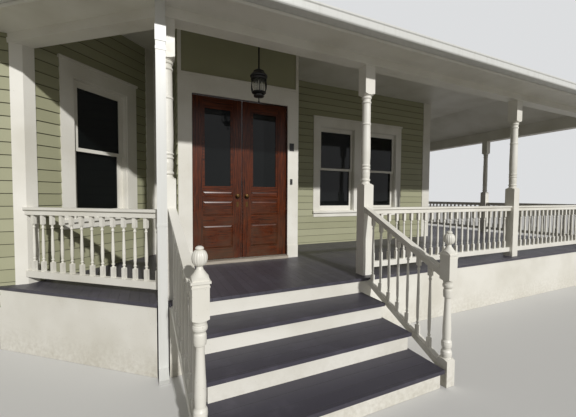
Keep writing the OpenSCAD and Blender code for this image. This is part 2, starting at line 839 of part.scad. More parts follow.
module railing_front() {
    color(trim) on_deck() translate([p2_x + post_w / 2, 0, 0]) panel(bay_front - post_w, 61);
}

module railing_corner() {
    color(trim) on_deck() translate([p3_x + post_w / 2, 0, 0]) panel(bay_corner - post_w, 61);
}

module railing_side() {
    color(trim) on_deck() {
        for (k = [0, 1])
            translate([front_len, k * bay_side + post_w / 2, 0]) rotate([0, 0, 90])
                panel(bay_side - post_w, 61);
        translate([house_x, 2 * bay_side, 0]) panel(wall_y - post_w / 2, 61);
    }
}

// Railing beside the steps, from the newel's back face to the post's front face.
// It leans aside a little, because the newels stand closer together than the posts
rail_y0 = newel_y + newel_w / 2;
rail_y1 = -post_w / 2;
hand_slope = step_rise / step_run;
hand_w = 68;
hand_z1 = 787;
low_z1 = 20;
stair_balusters = 7;

module stair_rail(x_newel, x_post) {
    length = rail_y1 - rail_y0;
    lean = -atan((x_post - x_newel) / length);
    n = stair_balusters;
    function ztop(y) = hand_z1 + (y - length) * hand_slope;
    function zlow(y) = low_z1 + (y - length) * hand_slope;
    intersection() {
        translate([x_newel, rail_y0, 0]) rotate([0, 0, lean]) {
            sloped(hand_w, -60, length + 60, hand_z1, cap_t, length);
            sloped(sub_w - 4, -60, length + 60, hand_z1 - cap_t, 42, length);
            sloped(sub_w, -60, length + post_w / 2 - edge_d + 3, low_z1, 62, length);
            for (k = [1:n]) translate([0, k * length / (n + 1), 0])
                baluster(zlow(k * length / (n + 1)) - 20, ztop(k * length / (n + 1)) - cap_t - 30);
        }
        translate([x_newel - 400, rail_y0, -deck_z]) cube([800, length, 3000]);
    }
}

// Bar of width w and upright depth t that climbs with the steps; its top is z1 at y = at
module sloped(w, y0, y1, z1, t, at) {
    a = z1 + (y0 - at) * hand_slope;
    b = z1 + (y1 - at) * hand_slope;
    translate([-w / 2, 0, 0]) rotate([90, 0, 90]) linear_extrude(w)
        polygon([[y0, a], [y1, b], [y1, b - t], [y0, a - t]]);
}

// The lower bar ends on the deck's edge board, under the nosing of the floor
module stair_rail_cut() {
    difference() {
        children();
        translate([-200, -edge_d - deck_over, -board_t]) cube([3000, 200, board_t]);
        translate([-200, -edge_d, -deck_z]) cube([3000, 200, deck_z - board_t + 0.01]);
    }
}

// The rails meet the posts a little inside the posts' middles
rail_in = 31;

module stair_rail_left() {
    color(trim) on_deck() stair_rail_cut() stair_rail(newel_lx, rail_in);
}

module stair_rail_right() {
    color(trim) on_deck() stair_rail_cut() stair_rail(newel_rx, p2_x - rail_in);
}

// ---- Roof ----

module beam() {
    h = beam_w / 2;
    color(trim) on_deck() {
        translate([0, 0, beam_z]) linear_extrude(roof_under(-h) - beam_z) strip(h, -h);
        // return at the far end of the side bay
        translate([house_x, 2 * bay_side - h, beam_z]) cube([wall_y - h, 2 * h, return_h]);
    }
}

module soffit() {
    color(trim) on_deck() translate([0, 0, soffit_z]) linear_extrude(12)
        strip(fascia_d - 22, beam_w / 2);
}

module fascia() {
    color(trim) on_deck() {
        translate([0, 0, soffit_z - 12]) linear_extrude(roof_under(-fascia_d) - soffit_z + 12)
            strip(fascia_d, fascia_d - 22);
        // board that closes the roof's end above the side beam
        translate([0, side_end, 0]) rotate([90, 0, 0]) linear_extrude(end_t)
            polygon([[house_x, beam_z + return_h], [front_len - beam_w / 2, beam_z + return_h],
                [front_len - beam_w / 2, roof_under(beam_w / 2) - fit],
                [house_x, roof_under(wall_y) - fit]]);
    }
}

// Ceiling: it slopes up under the rafters from the beam, then runs flat to the walls
function slope_ceiling(inward) = ceil_start + (inward - beam_w / 2) * tan(roof_pitch);

module ceiling() {
    h = beam_w / 2;
    color(trim) on_deck() difference() {
        hipped(-h - fit, ceil_start - 100, ceil_start + ceil_t);
        intersection() {
            hipped(300, 1000, slope_ceiling(-300));
            translate([-far, -far, 500]) cube([4 * far, 4 * far, ceiling_z - ceil_t - 500]);
        }
        translate([-far, -far, ceiling_z]) cube([4 * far, 4 * far, 3 * far]);
        translate([0, 0, -far]) linear_extrude(3 * far) {
            house_plan();
            entry_plan();
            translate([entry_x0, entry_y - board_out])
                square([entry_x1 - entry_x0, board_out + 1]);
        }
        translate([house_x, side_end - end_t, 2300]) cube([wall_y, 2 * end_t, 1000]);
    }
}

// Everything under three planes that rise inwards and meet in hips
module hipped(edge, z_low, z_edge) {
    reach = 11000;
    z_high = z_edge + (edge + reach) * tan(roof_pitch);
    intersection() {
        on_run(0, -far, 9000) polygon([[-edge, z_low], [reach, z_low], [reach, z_high], [-edge, z_edge]]);
        on_run(1, -far, 10000) polygon([[-edge, z_low], [reach, z_low], [reach, z_high], [-edge, z_edge]]);
        on_run(2, -3000, side_end)
            polygon([[-edge, z_low], [reach, z_low], [reach, z_high], [-edge, z_edge]]);
    }
}

module roof() {
    z_under = roof_under(-roof_edge);
    color(shingle) on_deck() difference() {
        hipped(roof_edge, z_under, roof_z0);
        hipped(roof_edge + 400, z_under - 500, roof_under(-roof_edge - 400));
        translate([0, 0, -far]) linear_extrude(3 * far) house_plan();
    }
}

gutter_z = 2438;
gutter_h = 95;
gutter_back = 66;
module gutter_profile() {
    b = fascia_d + fit;
    g = gutter_out;
    h = gutter_h;
    polygon([[-b, 0], [28 - g, 0], [18 - g, 4], [11 - g, 12], [9 - g, 22], [8 - g, 70],
        [-g, 80], [-g, h], [12 - g, h], [12 - g, h - 4], [4 - g, h - 4], [4 - g, 82],
        [12 - g, 72], [13 - g, 23], [15 - g, 14], [21 - g, 7.5], [29 - g, 4], [-b - 4, 4],
        [-b - 4, gutter_back], [-b, gutter_back]]);
}

module gutter() {
    color(trim) on_deck() {
        along_edge(gutter_z - 40, gutter_z + gutter_h + 60) translate([0, gutter_z]) gutter_profile();
        // plate that closes the end, let into the gutter's wall
        translate([front_len, side_end, gutter_z]) rotate([90, 0, 0]) mirror([1, 0, 0])
            linear_extrude(4)
            let (b = -fascia_d - fit - 2, g = gutter_out, h = gutter_h)
            polygon([[b, 2], [28.5 - g, 2], [19.5 - g, 5.5], [13 - g, 13], [11 - g, 22],
                [10 - g, 71], [2 - g, 81], [2 - g, h - 5], [54 - g, h - 5], [54 - g, 46], [b, 46]]);
    }
}

// Rain pipe in front of the left post, from the gutter to the ground
module downspout() {
    x0 = pipe_x0;
    y0 = pipe_y0;
    w = pipe_w;
    d = pipe_d;
    z1 = deck_z + soffit_z;
    color(trim) in_frame() {
        translate([x0, y0, 60]) cube([w, d, z1 - 60]);
        // joint sleeve, straps to the post and the shoe at the foot
        translate([x0 - 4, y0 - 4, deck_z + pipe_sleeve_z]) cube([w + 8, d + 8, 130]);
        for (z = [640, 2060]) {
            translate([x0 - 3, y0 - 3, deck_z + z]) cube([w + 6, d + 3, 24]);
            translate([x0, y0 + d, deck_z + z]) cube([w, -post_w / 2 - y0 - d, 24]);
        }
        translate([x0, y0, 0]) rotate([90, 0, 90]) linear_extrude(w)
            polygon([[d, 62], [d, 40], [-90, 0], [-110, 44], [0, 92], [0, 62]]);
    }
}

// ---- Lantern ----

lamp_x = 994;
lamp_y = 500;
lamp_z = 1954;
bars = 6;
stem_r = 5;

// Outline of one bowed bar, from the lower ring to the crown
bar_line = [[74, 106], [88, 124], [96, 150], [99, 180], [97, 212], [92, 244], [88, 262]];

module lantern() {
    z = lamp_z;
    color(black_iron) on_deck() translate([lamp_x, lamp_y, 0]) {
        // drop with its knob, plate and lower ring
        turned([[2, z], [9, z + 8], [11, z + 16], [8, z + 25], [6, z + 34], [6, z + 56], [12, z + 66],
            [58, z + 72], [60, z + 80], [34, z + 88], [38, z + 100], [66, z + 104], [80, z + 112],
            [80, z + 122], [62, z + 124]]);
        translate([0, 0, z]) for (k = [0:bars - 1]) rotate([0, 0, 15 + 360 * k / bars])
            rotate([90, 0, 0]) translate([0, 0, -4]) linear_extrude(8)
                polygon(concat(bar_line, [for (i = [len(bar_line) - 1:-1:0]) bar_line[i] - [9, 0]]));
        // upper ring, brim, domed crown and its spike
        turned([[60, z + 256], [90, z + 258], [92, z + 274], [84, z + 280], [97, z + 288],
            [99, z + 300], [92, z + 312], [78, z + 328], [66, z + 336], [62, z + 342],
            [62, z + 354], [50, z + 362], [32, z + 368], [18, z + 376], [12, z + 390], [7, z + 402]]);
        translate([0, 0, z + 395])
            cylinder(h = slope_ceiling(lamp_y) - z - 425, r = stem_r, $fn = 24);
        // canopy cut to the sloping ceiling
        difference() {
            translate([0, 0, slope_ceiling(lamp_y) - 50]) cylinder(h = 90, r = 62, $fn = 48);
            translate([-100, 0, slope_ceiling(lamp_y) - fit]) rotate([roof_pitch, 0, 0])
                translate([0, -200, 0]) cube([200, 400, 200]);
        }
    }
}

module lantern_glass() {
    color(pane) on_deck() translate([lamp_x, lamp_y, 0])
        turned([[56, lamp_z + 124], [68, lamp_z + 180], [66, lamp_z + 256]]);
}

wing_wall();
angled_wall();
entry_wall_left();
entry_wall_right();
entry_wall_top();
main_wall();
side_wall();
upper_wall();
foundation();
corner_boards();
angled_window_casing();
angled_window_sashes();
paired_window_casing();
paired_window_sashes();
window_glass();
door_casing();
entry_panel();
door_frame();
door_hinges();
threshold();
entry_floor();
left_door();
right_door();
left_door_glass();
right_door_glass();
left_door_hardware();
right_door_hardware();
deck_floor();
deck_skirt();
stair_stringers();
stair_risers();
stair_treads();
newel_left();
newel_right();
stair_rail_left();
stair_rail_right();
post_left();
post_stair();
post_middle();
posts_far();
railing_angled();
railing_front();
railing_corner();
railing_side();
beam();
soffit();
fascia();
ceiling();
roof();
gutter();
downspout();
lantern();
lantern_glass();
doorbell();
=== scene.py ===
import bpy
import numpy as np
from mathutils import Matrix


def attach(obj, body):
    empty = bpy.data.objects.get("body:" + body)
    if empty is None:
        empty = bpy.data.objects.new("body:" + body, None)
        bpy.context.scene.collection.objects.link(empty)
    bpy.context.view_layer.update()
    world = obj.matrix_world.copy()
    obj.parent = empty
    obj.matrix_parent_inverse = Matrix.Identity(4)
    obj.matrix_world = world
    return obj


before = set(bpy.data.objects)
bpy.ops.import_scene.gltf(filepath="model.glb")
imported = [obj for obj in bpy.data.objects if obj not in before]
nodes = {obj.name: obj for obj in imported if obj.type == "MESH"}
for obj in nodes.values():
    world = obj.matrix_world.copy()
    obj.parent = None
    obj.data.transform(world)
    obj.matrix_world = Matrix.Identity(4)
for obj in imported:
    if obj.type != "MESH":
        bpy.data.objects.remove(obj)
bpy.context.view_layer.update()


# The view. The eye stands on the path at the left end of the steps, 1.52 m over
# the ground, and looks half right across the steps with a wide lens.
# Plan measures run from the middle of the left post, heights from the deck floor.
origin_x, origin_y, deck_high = 3005.0, 1734.5, 628.0


def spot(x, y, z):
    """Point in metres: plan x and y and height over the deck z, in mm, less the part's origin."""
    x, y, z = np.broadcast_arrays(x, y, z)
    return np.stack([x - origin_x, y - origin_y, z + deck_high], axis=-1) / 1000


yaw, pitch, roll = np.radians([24.35, -2.23, 0.34])
ahead = np.array([np.sin(yaw) * np.cos(pitch), np.cos(yaw) * np.cos(pitch), np.sin(pitch)])
level = np.array([np.cos(yaw), -np.sin(yaw), 0.0])
over = np.cross(level, ahead)
to_right = level * np.cos(roll) + over * np.sin(roll)
upward = over * np.cos(roll) - level * np.sin(roll)
eye = bpy.data.objects.new("eye", bpy.data.cameras.new("eye"))
bpy.context.collection.objects.link(eye)
# the eye is 298.9 pixels from the picture, which is 576 pixels or 36 mm wide
eye.data.lens = 298.9 * 36 / 576
eye.data.clip_end = 200
eye.matrix_world = Matrix.Translation(spot(-117, -2777, 890)) @ Matrix(
    np.stack([to_right, upward, -ahead], axis=1).tolist()
).to_4x4()
bpy.context.scene.camera = eye
bpy.context.scene.view_settings.view_transform = "Standard"


# Light and ground. A low lamp stands before the street side, 27 degrees high, where
# the photo's shadow edges put the sun, and a pale room lights the rest. The floor is stage.
def colour(code):
    """sRGB hex to linear: c / 12.92 up to 0.04045, above it ((c + 0.055) / 1.055) to the 2.4."""
    c = np.array([int(code[i:i + 2], 16) for i in (0, 2, 4)]) / 255
    return (*np.where(c <= 0.04045, c / 12.92, ((c + 0.055) / 1.055) ** 2.4), 1.0)


def add(tree, kind, inputs, **settings):
    """Adds one shader node. Inputs hold numbers, colours or the outputs of other nodes."""
    node = tree.nodes.new("ShaderNode" + kind)
    for name, value in settings.items():
        setattr(node, name, value)
    for name, value in inputs.items():
        if isinstance(value, bpy.types.NodeSocket):
            tree.links.new(value, node.inputs[name])
        else:
            node.inputs[name].default_value = value
    return node


def seen_rays(tree):
    """Socket that is 1 for a ray from the eye, through glass or off a gloss, which shows the
    background, and 0 for a ray that gathers light: the largest of the three."""
    path = add(tree, "LightPath", {})
    seen = add(tree, "Math", {0: path.outputs["Is Camera Ray"],
                              1: path.outputs["Is Transmission Ray"]}, operation="MAXIMUM")
    seen = add(tree, "Math", {0: seen.outputs[0], 1: path.outputs["Is Glossy Ray"]},
               operation="MAXIMUM")
    return seen.outputs[0]


def two_tone(tree, share, first, second):
    """Socket of the colour (1 - share) first + share second."""
    return add(tree, "Mix", {0: share, 6: first, 7: second}, data_type="RGBA").outputs[2]


lamp = bpy.data.objects.new("low_sun", bpy.data.lights.new("low_sun", "SUN"))
bpy.context.collection.objects.link(lamp)
lamp.data.energy = 2.9
lamp.data.angle = np.radians(1.5)
lamp.data.color = (1.0, 0.985, 0.96)
lamp.rotation_euler = (np.radians(62.7), 0, np.radians(4))

room = bpy.data.worlds.new("pale_room")
bpy.context.scene.world = room
room.use_nodes = True
tree = room.node_tree
tree.nodes.clear()
seen = seen_rays(tree)
fill = add(tree, "Background", {"Color": (1.0, 0.98, 0.95, 1), "Strength": 0.25})
paper = add(tree, "Background", {"Color": (0.72, 0.73, 0.74, 1), "Strength": 1.0})
both = add(tree, "MixShader", {0: seen, 1: fill.outputs[0], 2: paper.outputs[0]})
add(tree, "OutputWorld", {"Surface": both.outputs[0]})


def grid_mesh(name, points, faces):
    """Mesh object from an array of points and a list of faces, in metres, its origin at zero."""
    mesh = bpy.data.meshes.new(name)
    mesh.from_pydata(np.asarray(points).reshape(-1, 3).tolist(), [], faces)
    mesh.update()
    piece = bpy.data.objects.new(name, mesh)
    bpy.context.collection.objects.link(piece)
    return piece


def finish_of(name):
    """New material with one Principled surface: the material, its tree and that surface."""
    material = bpy.data.materials.new(name)
    material.use_nodes = True
    material.node_tree.nodes.clear()
    surface = add(material.node_tree, "BsdfPrincipled", {})
    add(material.node_tree, "OutputMaterial", {"Surface": surface.outputs[0]})
    return material, material.node_tree, surface


def dress(piece, material):
    """Puts the material on every slot of the piece."""
    if not piece.material_slots:
        piece.data.materials.append(material)
    for place in piece.material_slots:
        place.material = material


floor_finish, tree, surface = finish_of("matt_studio_floor")
pale = two_tone(tree, seen_rays(tree), (0.36, 0.35, 0.32, 1), (0.66, 0.66, 0.65, 1))
tree.links.new(pale, surface.inputs["Base Color"])
surface.inputs["Roughness"].default_value = 0.9
surface.inputs["Specular IOR Level"].default_value = 0.0
# a disc 60 m in radius, 2 mm under the part's feet
angle = np.linspace(0, 2 * np.pi, 65)[:-1]
rim = np.stack([60 * np.cos(angle), 60 * np.sin(angle), np.zeros(64) - 0.002], axis=1)
studio_floor = grid_mesh("studio_floor", rim, [list(range(64))])
dress(studio_floor, floor_finish)


# Painted joinery: posts, rails, newels, beam, casings and ceiling are softwood,
# turned or sawn, under many coats of cream gloss. It is dusty in places and
# splashed with soil near the ground; brush marks follow the length of a piece.
def emboss(tree, surface, relief, strength, distance):
    """Bumps the surface. The relief is a socket from 0 to 1 that stands for up to distance
    metres of height, and strength is the share of it that shows."""
    bump = add(tree, "Bump", {"Height": relief, "Strength": strength, "Distance": distance})
    tree.links.new(bump.outputs[0], surface.inputs["Normal"])


gloss, tree, surface = finish_of("cream_gloss_paint_on_softwood")
place = add(tree, "TexCoord", {}).outputs["Object"]
height = add(tree, "SeparateXYZ", {0: place}).outputs["Z"]
broad = add(tree, "TexNoise", {"Vector": place, "Scale": 1.7, "Detail": 3.0})
small = add(tree, "TexNoise", {"Vector": place, "Scale": 26.0, "Detail": 5.0, "Roughness": 0.62})
dust = add(tree, "MapRange", {"Value": broad.outputs["Fac"], "From Min": 0.42, "From Max": 0.72})
clean = two_tone(tree, dust.outputs[0], colour("E5E3DB"), colour("D4D1C6"))
# soil splashes fade out 300 mm over the ground
splash = add(tree, "MapRange", {"Value": height, "From Min": 0.0, "From Max": 0.30,
                                "To Min": 0.42, "To Max": 0.0})
speck = add(tree, "MapRange", {"Value": small.outputs["Fac"], "From Min": 0.35, "From Max": 0.75})
soil = add(tree, "Math", {0: splash.outputs[0], 1: speck.outputs[0]}, operation="MULTIPLY")
soiled = two_tone(tree, soil.outputs[0], clean, colour("9A917B"))
# chips and scuffs where the paint is thin, about 5 mm across
chip = add(tree, "TexNoise", {"Vector": place, "Scale": 95.0, "Detail": 2.0})
chipped = add(tree, "MapRange", {"Value": chip.outputs["Fac"], "From Min": 0.70,
                                 "From Max": 0.74, "To Max": 0.55})
worn = two_tone(tree, chipped.outputs[0], soiled, colour("A79F8B"))
tree.links.new(worn, surface.inputs["Base Color"])
sheen = add(tree, "MapRange", {"Value": small.outputs["Fac"], "To Min": 0.32, "To Max": 0.52})
tree.links.new(sheen.outputs[0], surface.inputs["Roughness"])
# brush marks are 2 mm apart on the real one, drawn 8 mm apart so that they show
along = add(tree, "Mapping", {"Vector": place, "Scale": (125.0, 125.0, 14.0)})
marks = add(tree, "TexNoise", {"Vector": along.outputs[0], "Scale": 1.0, "Detail": 2.0})
emboss(tree, surface, marks.outputs["Fac"], strength=0.25, distance=0.0015)
for name in ["corner_boards", "angled_window_casing", "angled_window_sashes",
             "paired_window_casing", "paired_window_sashes", "door_casing", "deck_skirt",
             "stair_stringers", "stair_risers", "newel_left", "newel_right", "stair_rail_left",
             "stair_rail_right", "post_left", "post_stair", "post_middle", "posts_far",
             "railing_angled", "railing_front", "railing_corner", "railing_side", "beam",
             "soffit", "fascia", "ceiling"]:
    dress(nodes[name], gloss)


# Reeded balls on the two newels: each turned ball is carved with sixteen upright
# reeds, like a melon. The reeds fade out at the neck and under the button.
def shell(rings, around, first=0):
    """Faces of a closed shell whose points are numbered from first, ring by ring, with so
    many points around: quads between neighbouring rings and a cap on each end."""
    i, j = np.meshgrid(first + around * np.arange(rings - 1), np.arange(around), indexing="ij")
    k = (j + 1) % around
    sides = np.stack([i + j, i + k, i + around + k, i + around + j], axis=-1)
    last = first + around * (rings - 1)
    caps = [list(range(first + around - 1, first - 1, -1)), list(range(last, last + around))]
    return sides.reshape(-1, 4).tolist() + caps


def reeded_ball(name, x, y):
    """Ball r(u, v) = 16 + 24.6 sin(u) + 2 sin(u) |cos(8 v)|, its height z = 562 - 42.6 cos(u),
    in mm over the deck, for u from the neck at 0 to the button at pi."""
    rings, around = 29, 192
    u, v = np.meshgrid(np.linspace(0.04, np.pi - 0.04, rings),
                       np.linspace(0, 2 * np.pi, around + 1)[:-1], indexing="ij")
    r = 16 + 24.6 * np.sin(u) + 2.0 * np.sin(u) * np.abs(np.cos(8 * v))
    points = spot(x + r * np.cos(v), y + r * np.sin(v), 562 - 42.6 * np.cos(u))
    faces = shell(rings, around)
    ball = grid_mesh(name, points, faces)
    ball.data.polygons.foreach_set("use_smooth", [len(face) == 4 for face in faces])
    dress(ball, gloss)
    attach(ball, "house_and_porch")


reeded_ball("left_newel_ball", 108, -1138)
reeded_ball("right_newel_ball", 2045, -1138)


# Walls inside. The rooms' side of the walls is gypsum plaster, rolled with a flat
# off-white. The street side is hidden under the boards of the next piece.
plaster, tree, surface = finish_of("rolled_gypsum_plaster")
place = add(tree, "TexCoord", {}).outputs["Object"]
cloud = add(tree, "TexNoise", {"Vector": place, "Scale": 0.9, "Detail": 3.0})
tint = two_tone(tree, cloud.outputs["Fac"], colour("D9D4C4"), colour("C9C3B2"))
tree.links.new(tint, surface.inputs["Base Color"])
surface.inputs["Roughness"].default_value = 0.85
# the roller's orange peel, 3 mm on the wall, drawn 9 mm
peel = add(tree, "TexNoise", {"Vector": place, "Scale": 110.0, "Detail": 1.0})
emboss(tree, surface, peel.outputs["Fac"], strength=0.3, distance=0.001)
for name in ["wing_wall", "angled_wall", "entry_wall_left", "entry_wall_right",
             "entry_wall_top", "main_wall", "side_wall", "upper_wall"]:
    dress(nodes[name], plaster)


# Lapped siding: bevelled boards nailed over each other with 125 mm showing, brushed
# with sage green satin paint. Each board is thickest at its lower edge, where it
# throws a thin shadow line.
lap_high, lap_z = 125.0, 36
sage, tree, surface = finish_of("sage_satin_paint_on_lapped_boards")
place = add(tree, "TexCoord", {}).outputs["Object"]
parts = add(tree, "SeparateXYZ", {0: place})
# one shade for each course, counted from the lap that lies 36 mm over the deck
course = add(tree, "Math", {0: parts.outputs["Z"], 1: (deck_high + lap_z) / 1000},
             operation="SUBTRACT")
course = add(tree, "Math", {0: course.outputs[0], 1: lap_high / 1000}, operation="DIVIDE")
number = add(tree, "Math", {0: course.outputs[0]}, operation="FLOOR")
shade = add(tree, "TexWhiteNoise", {"W": number.outputs[0]}, noise_dimensions="1D",
            name="course_shade")
grey = add(tree, "TexNoise", {"Vector": place, "Scale": 2.2, "Detail": 4.0})
mixed = add(tree, "Math", {0: shade.outputs["Value"], 1: grey.outputs["Fac"]}, operation="ADD")
mixed = add(tree, "MapRange", {"Value": mixed.outputs[0], "From Min": 0.2, "From Max": 1.8})
paint = two_tone(tree, mixed.outputs[0], colour("A5A58A"), colour("959579"))
# painted shadow: a dark band under each lap stands for the shadow line it throws, 6 mm high, drawn
# 9 mm
within = add(tree, "Math", {0: course.outputs[0]}, operation="FRACT")
line = add(tree, "MapRange", {"Value": within.outputs[0], "From Min": 0.925, "From Max": 0.95,
                              "To Max": 0.85}, name="lap_line")
painted_lap_shadow = two_tone(tree, line.outputs[0], paint, colour("3F3C2B"))
tree.links.new(painted_lap_shadow, surface.inputs["Base Color"])
surface.inputs["Roughness"].default_value = 0.5
surface.inputs["Specular IOR Level"].default_value = 0.3
# wood grain shows through the paint along each board, 2 mm lines drawn 5 mm
grain = add(tree, "Mapping", {"Vector": place, "Scale": (3.0, 3.0, 200.0)})
lines = add(tree, "TexNoise", {"Vector": grain.outputs[0], "Scale": 1.0, "Detail": 3.0})
emboss(tree, surface, lines.outputs["Fac"], strength=0.3, distance=0.001)


def lapped(low, high):
    """Section of lapped boards between two heights in mm: at height h a board stands
    17 - 12 f out, where f is how far up its 125 mm course the point lies."""
    thick, thin = 17, 5
    first, last = (low - lap_z) / lap_high, (high - lap_z) / lap_high
    lines = np.arange(np.floor(first) + 1, np.ceil(last)) * lap_high + lap_z
    h = np.concatenate([[low], np.repeat(lines, 2), [high]])
    out = thick - (thick - thin) * (((h - lap_z) / lap_high) % 1)
    out[1:-1:2] = thin
    out[2:-1:2] = thick
    return np.append(h, [high, low]), np.append(out, [0.0, 0.0])


def clapboards(name, start, end, spans):
    """Boards on the wall that runs on plan from start to end, left to right as seen from
    outside. A span is (from, to, low, high): along the wall and over the deck, in mm.
    Each span is the lapped section carried straight from one end to the other."""
    start, end = np.array(start, float), np.array(end, float)
    run = (end - start) / np.linalg.norm(end - start)
    outward = np.array([run[1], -run[0]])
    points, faces = [], []
    for a, b, low, high in spans:
        h, out = lapped(low, high)
        first, n = sum(len(p) for p in points), len(h)
        for s in (a, b):
            plan = start + s * run + out[:, None] * outward
            points.append(spot(plan[:, 0], plan[:, 1], h))
        i = np.arange(n)
        j = (i + 1) % n
        faces += (first + np.stack([i, i + n, j + n, j], axis=1)).tolist()
        faces += [(first + i).tolist(), (first + n + i[::-1]).tolist()]
    piece = grid_mesh(name, np.concatenate(points), faces)
    dress(piece, sage)
    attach(piece, "house_and_porch")


# heights of the footing, of the windows' sills and heads and of the wall's edge
foot, sill, head, top = -208, 514, 2400, 3790
wing_x, wall_y, side_x, side_end = -2400, 2204, 5676, 4660
entry_left, entry_right, entry_y, entry_top = 176, 1840, 1216, 3018
wing = np.array([-1271.9, 1030.0])
inner = wing + 1174
clapboards("wing_clapboards", (wing_x, wing[1]), wing,
           [(0, wing[0] - wing_x - 93, foot, top)])
clapboards("angled_wall_clapboards", wing, inner,
           [(93, 334, foot, top), (334, 1330, foot, sill), (334, 1330, head, top),
            (1330, 1511, foot, top)])
# between 274 and 1937.9 the entry stands before this wall, up to the roof
clapboards("front_wall_clapboards", inner, (side_x, wall_y),
           [(59, 274, foot, top), (274, 1937.9, 3440, top), (1937.9, 2750, foot, top),
            (2750, 4920, foot, sill), (2750, 4920, head, top), (4920, 5580, foot, top)])
clapboards("entry_left_clapboards", (entry_left, wall_y), (entry_left, entry_y),
           [(0, wall_y - entry_y, foot, entry_top)])
clapboards("entry_right_clapboards", (entry_right, entry_y), (entry_right, wall_y),
           [(0, wall_y - entry_y, foot, entry_top)])
clapboards("side_wall_clapboards", (side_x, wall_y), (side_x, side_end),
           [(99, side_end - wall_y, foot, top)])


# Panel over the doors: one flat board under the siding's paint, framed by the casing.
# It has no laps, so the painted shadow line and the shade of each course are taken out.
flat_sage = sage.copy()
flat_sage.name = "sage_satin_paint_on_flat_board"
flat_sage.node_tree.nodes["lap_line"].inputs["To Max"].default_value = 0.0
flat_sage.node_tree.nodes["course_shade"].inputs["W"].default_value = 0.5
for link in list(flat_sage.node_tree.nodes["course_shade"].inputs["W"].links):
    flat_sage.node_tree.links.remove(link)
dress(nodes["entry_panel"], flat_sage)


# Deck floor: tongue and groove boards, 83 mm wide, laid from the house to the edge
# and painted with dark grey floor enamel that has worn to a soft sheen.
enamel, tree, surface = finish_of("grey_floor_enamel_on_boards")
place = add(tree, "TexCoord", {}).outputs["Object"]
parts = add(tree, "SeparateXYZ", {0: place})
boards = add(tree, "Math", {0: parts.outputs["X"], 1: 0.083}, operation="DIVIDE")
number = add(tree, "Math", {0: boards.outputs[0]}, operation="FLOOR")
within = add(tree, "Math", {0: boards.outputs[0]}, operation="FRACT")
tone = add(tree, "TexWhiteNoise", {"W": number.outputs[0]}, noise_dimensions="1D")
paint = two_tone(tree, tone.outputs["Value"], colour("403E47"), colour("484650"))
tread_wear = add(tree, "TexNoise", {"Vector": place, "Scale": 3.5, "Detail": 6.0,
                                    "Roughness": 0.65})
wear = add(tree, "MapRange", {"Value": tread_wear.outputs["Fac"], "From Min": 0.52,
                              "From Max": 0.75, "To Max": 0.6})
worn = two_tone(tree, wear.outputs[0], paint, colour("605D68"))
# joints between the boards are 2 mm wide, drawn 3 mm
middle = add(tree, "Math", {0: within.outputs[0], 1: 0.5}, operation="SUBTRACT")
middle = add(tree, "Math", {0: middle.outputs[0]}, operation="ABSOLUTE")
joint = add(tree, "MapRange", {"Value": middle.outputs[0], "From Min": 0.480, "From Max": 0.494})
jointed = two_tone(tree, joint.outputs[0], worn, colour("252329"))
tree.links.new(jointed, surface.inputs["Base Color"])
gleam = add(tree, "MapRange", {"Value": tread_wear.outputs["Fac"], "To Min": 0.30, "To Max": 0.62})
tree.links.new(gleam.outputs[0], surface.inputs["Roughness"])
groove = add(tree, "Math", {0: 1.0, 1: joint.outputs[0]}, operation="SUBTRACT")
emboss(tree, surface, groove.outputs[0], strength=0.8, distance=0.003)
dress(nodes["deck_floor"], enamel)


# Step treads: three planks side by side on each step under the same enamel, its
# specular reflection weaker.
tread_enamel = enamel.copy()
tread_enamel.name = "grey_floor_enamel_on_treads"
tree = tread_enamel.node_tree
by_y = [n for n in tree.nodes if n.bl_idname == "ShaderNodeSeparateXYZ"][0]
split = [n for n in tree.nodes if n.bl_idname == "ShaderNodeMath" and n.operation == "DIVIDE"][0]
# planks are counted from the deck's edge, 147 mm out, and a going of 338 mm holds three
deck_edge, going = 147, 0.338
shifted = add(tree, "Math", {0: by_y.outputs["Y"], 1: (origin_y + deck_edge) / 1000},
              operation="ADD")
tree.links.new(shifted.outputs[0], split.inputs[0])
split.inputs[1].default_value = going / 3
tread_surface = [n for n in tree.nodes if n.bl_idname == "ShaderNodeBsdfPrincipled"][0]
tread_surface.inputs["Specular IOR Level"].default_value = 0.3
dress(nodes["stair_treads"], tread_enamel)


# Entrance doors, their frame and the floor inside: hardwood under red-brown varnish.
# Grain runs up the stiles and across the rails and panels; the lower half has gone dull
# and greyer in the weather.
varnish, tree, surface = finish_of("varnished_red_brown_hardwood")
place = add(tree, "TexCoord", {}).outputs["Object"]
parts = add(tree, "SeparateXYZ", {0: place})
# distance from the line between the two leaves: stiles are nearer than 131 mm or farther
# than 528 mm, and what lies between them is rail or panel
doors_x = 1008
off = add(tree, "Math", {0: parts.outputs["X"], 1: (origin_x - doors_x) / 1000},
          operation="ADD")
off = add(tree, "Math", {0: off.outputs[0]}, operation="ABSOLUTE")
inner_stile = add(tree, "Math", {0: off.outputs[0], 1: 0.131}, operation="LESS_THAN")
outer_stile = add(tree, "Math", {0: off.outputs[0], 1: 0.528}, operation="GREATER_THAN")
stile = add(tree, "Math", {0: inner_stile.outputs[0], 1: outer_stile.outputs[0]}, operation="ADD")
